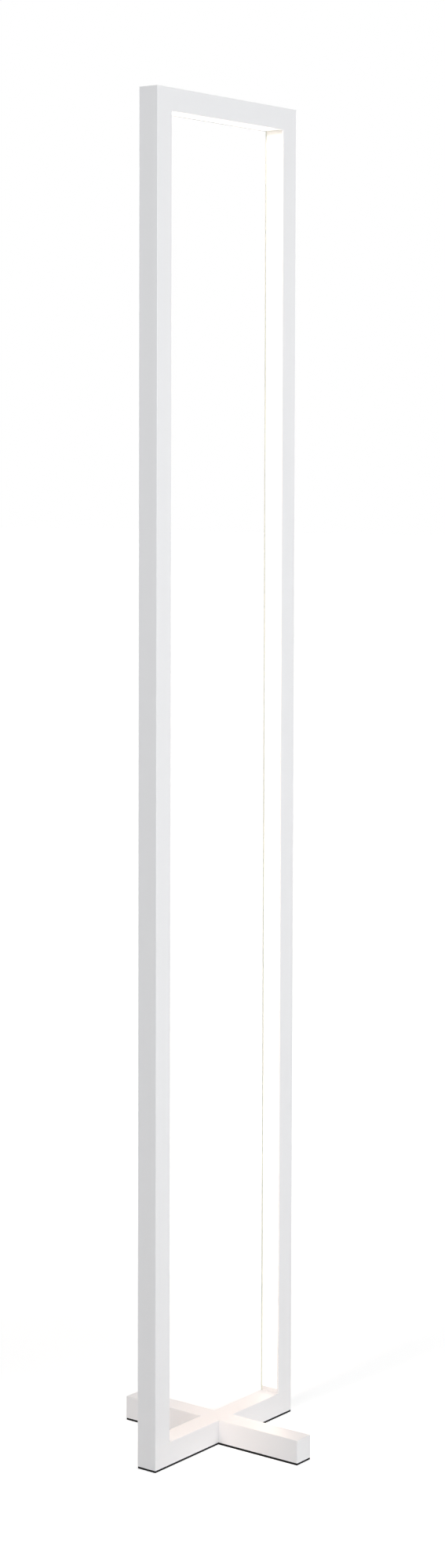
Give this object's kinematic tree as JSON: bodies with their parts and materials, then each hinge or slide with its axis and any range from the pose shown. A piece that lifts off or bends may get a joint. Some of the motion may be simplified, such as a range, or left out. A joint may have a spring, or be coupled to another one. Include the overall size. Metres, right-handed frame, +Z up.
{
  "type": "led floor lamp",
  "caption": "Slim upright rectangular LED floor lamp on a flat cross base, lit through opal strips along the inner faces of its frame.",
  "frame": {"origin": "on the floor under the middle of the cross base", "axes": "+Z up, X across the frame from the left upright to the right one, front of the lamp towards -Y along the cross bar"},
  "size_m": [0.2, 0.192, 1.19],
  "materials": {
    "frame_white": "white powder coat on extruded profile",
    "base_white": "white powder coat on steel bar",
    "block_white": "white painted casting",
    "plain_steel": "zinc plated",
    "dark_steel": "black oxide",
    "board_white": "white solder mask",
    "led_phosphor": "phosphor window",
    "opal_diffuser": "opal, satin",
    "wire_sheath": "silicone sheath",
    "solder": "bright solder",
    "pad_black": "die-cut rubber sheet, matt",
    "nylon_white": "moulded nylon",
    "brass": "plain brass"
  },
  "bodies": {
    "root": {"left_upright": "frame_white", "right_upright": "frame_white", "top_rail": "frame_white", "left_corner_key": "plain_steel", "right_corner_key": "plain_steel", "left_foot_block": "block_white", "right_foot_block": "block_white", "grub_screws": "dark_steel", "left_led_board": "board_white", "top_led_board": "board_white", "right_led_board": "board_white", "left_leds": "led_phosphor", "top_leds": "led_phosphor", "right_leds": "led_phosphor", "left_diffuser": "opal_diffuser", "top_diffuser": "opal_diffuser", "right_diffuser": "opal_diffuser", "left_corner_jumper": "wire_sheath", "right_corner_jumper": "wire_sheath", "feed_wires": "wire_sheath", "solder_joints": "solder", "base_rail": "base_white", "cross_bar": "base_white", "frame_bolts": "plain_steel", "lap_screws": "plain_steel", "left_pad": "pad_black", "right_pad": "pad_black", "cross_pad": "pad_black", "terminal_block": "nylon_white", "terminal_screws": "brass", "terminal_cover": "plain_steel", "cover_screws": "plain_steel", "cable_gland": "nylon_white", "gland_nut": "nylon_white"}
  },
  "joints": []
}
